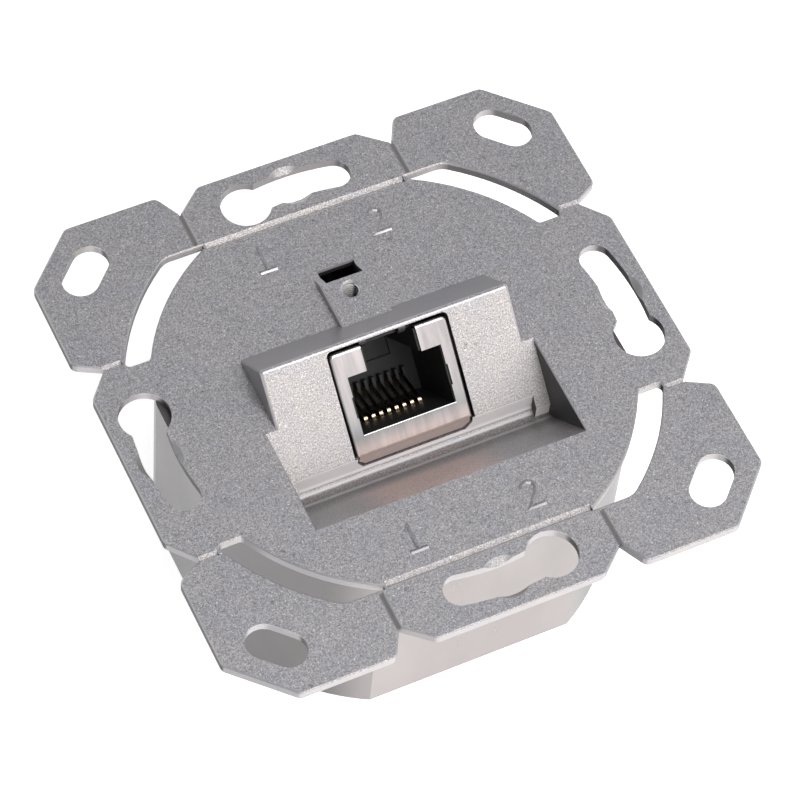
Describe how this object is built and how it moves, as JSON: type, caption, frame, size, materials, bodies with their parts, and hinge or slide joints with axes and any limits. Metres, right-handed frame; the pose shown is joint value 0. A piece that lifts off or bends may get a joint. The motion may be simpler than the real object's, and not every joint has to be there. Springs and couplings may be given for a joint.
{
  "type": "flush-mounted ethernet socket insert",
  "caption": "Die-cast data socket insert with a shielded modular jack in a tilted face, a square mounting plate for a round wall box and a shallow metal rear housing",
  "frame": {"origin": "centre of the 60 mm fixing pattern, on the rear face of the mounting plate", "axes": "+Z points out of the wall towards the user, +Y is up in use, +X is to the user's right"},
  "size_m": [0.069, 0.069, 0.0335],
  "materials": {
    "die_cast_metal": "zinc alloy as cast, fine grain, satin",
    "nickel_sheet": "nickel plated, satin",
    "black_plastic": "moulded, matt",
    "gold_contact": "gold plated, bright",
    "board_laminate": "green solder mask",
    "terminal_plastic": "moulded, matt",
    "tin_contact": "tin plated, satin",
    "zinc_steel": "zinc plated, satin"
  },
  "bodies": {
    "root": {"board_screws": "zinc_steel", "cable_clamp": "zinc_steel", "circuit_board": "board_laminate", "clamp_screws": "zinc_steel", "contact_1": "gold_contact", "contact_2": "gold_contact", "contact_3": "gold_contact", "contact_4": "gold_contact", "contact_5": "gold_contact", "contact_6": "gold_contact", "contact_7": "gold_contact", "contact_8": "gold_contact", "housing_screws": "zinc_steel", "idc_block_front": "terminal_plastic", "idc_block_rear": "terminal_plastic", "idc_contact_1": "tin_contact", "idc_contact_2": "tin_contact", "idc_contact_3": "tin_contact", "idc_contact_4": "tin_contact", "idc_contact_5": "tin_contact", "idc_contact_6": "tin_contact", "idc_contact_7": "tin_contact", "idc_contact_8": "tin_contact", "jack_body": "black_plastic", "jack_shield": "nickel_sheet", "mounting_frame": "die_cast_metal", "rear_housing": "die_cast_metal"}
  },
  "joints": []
}
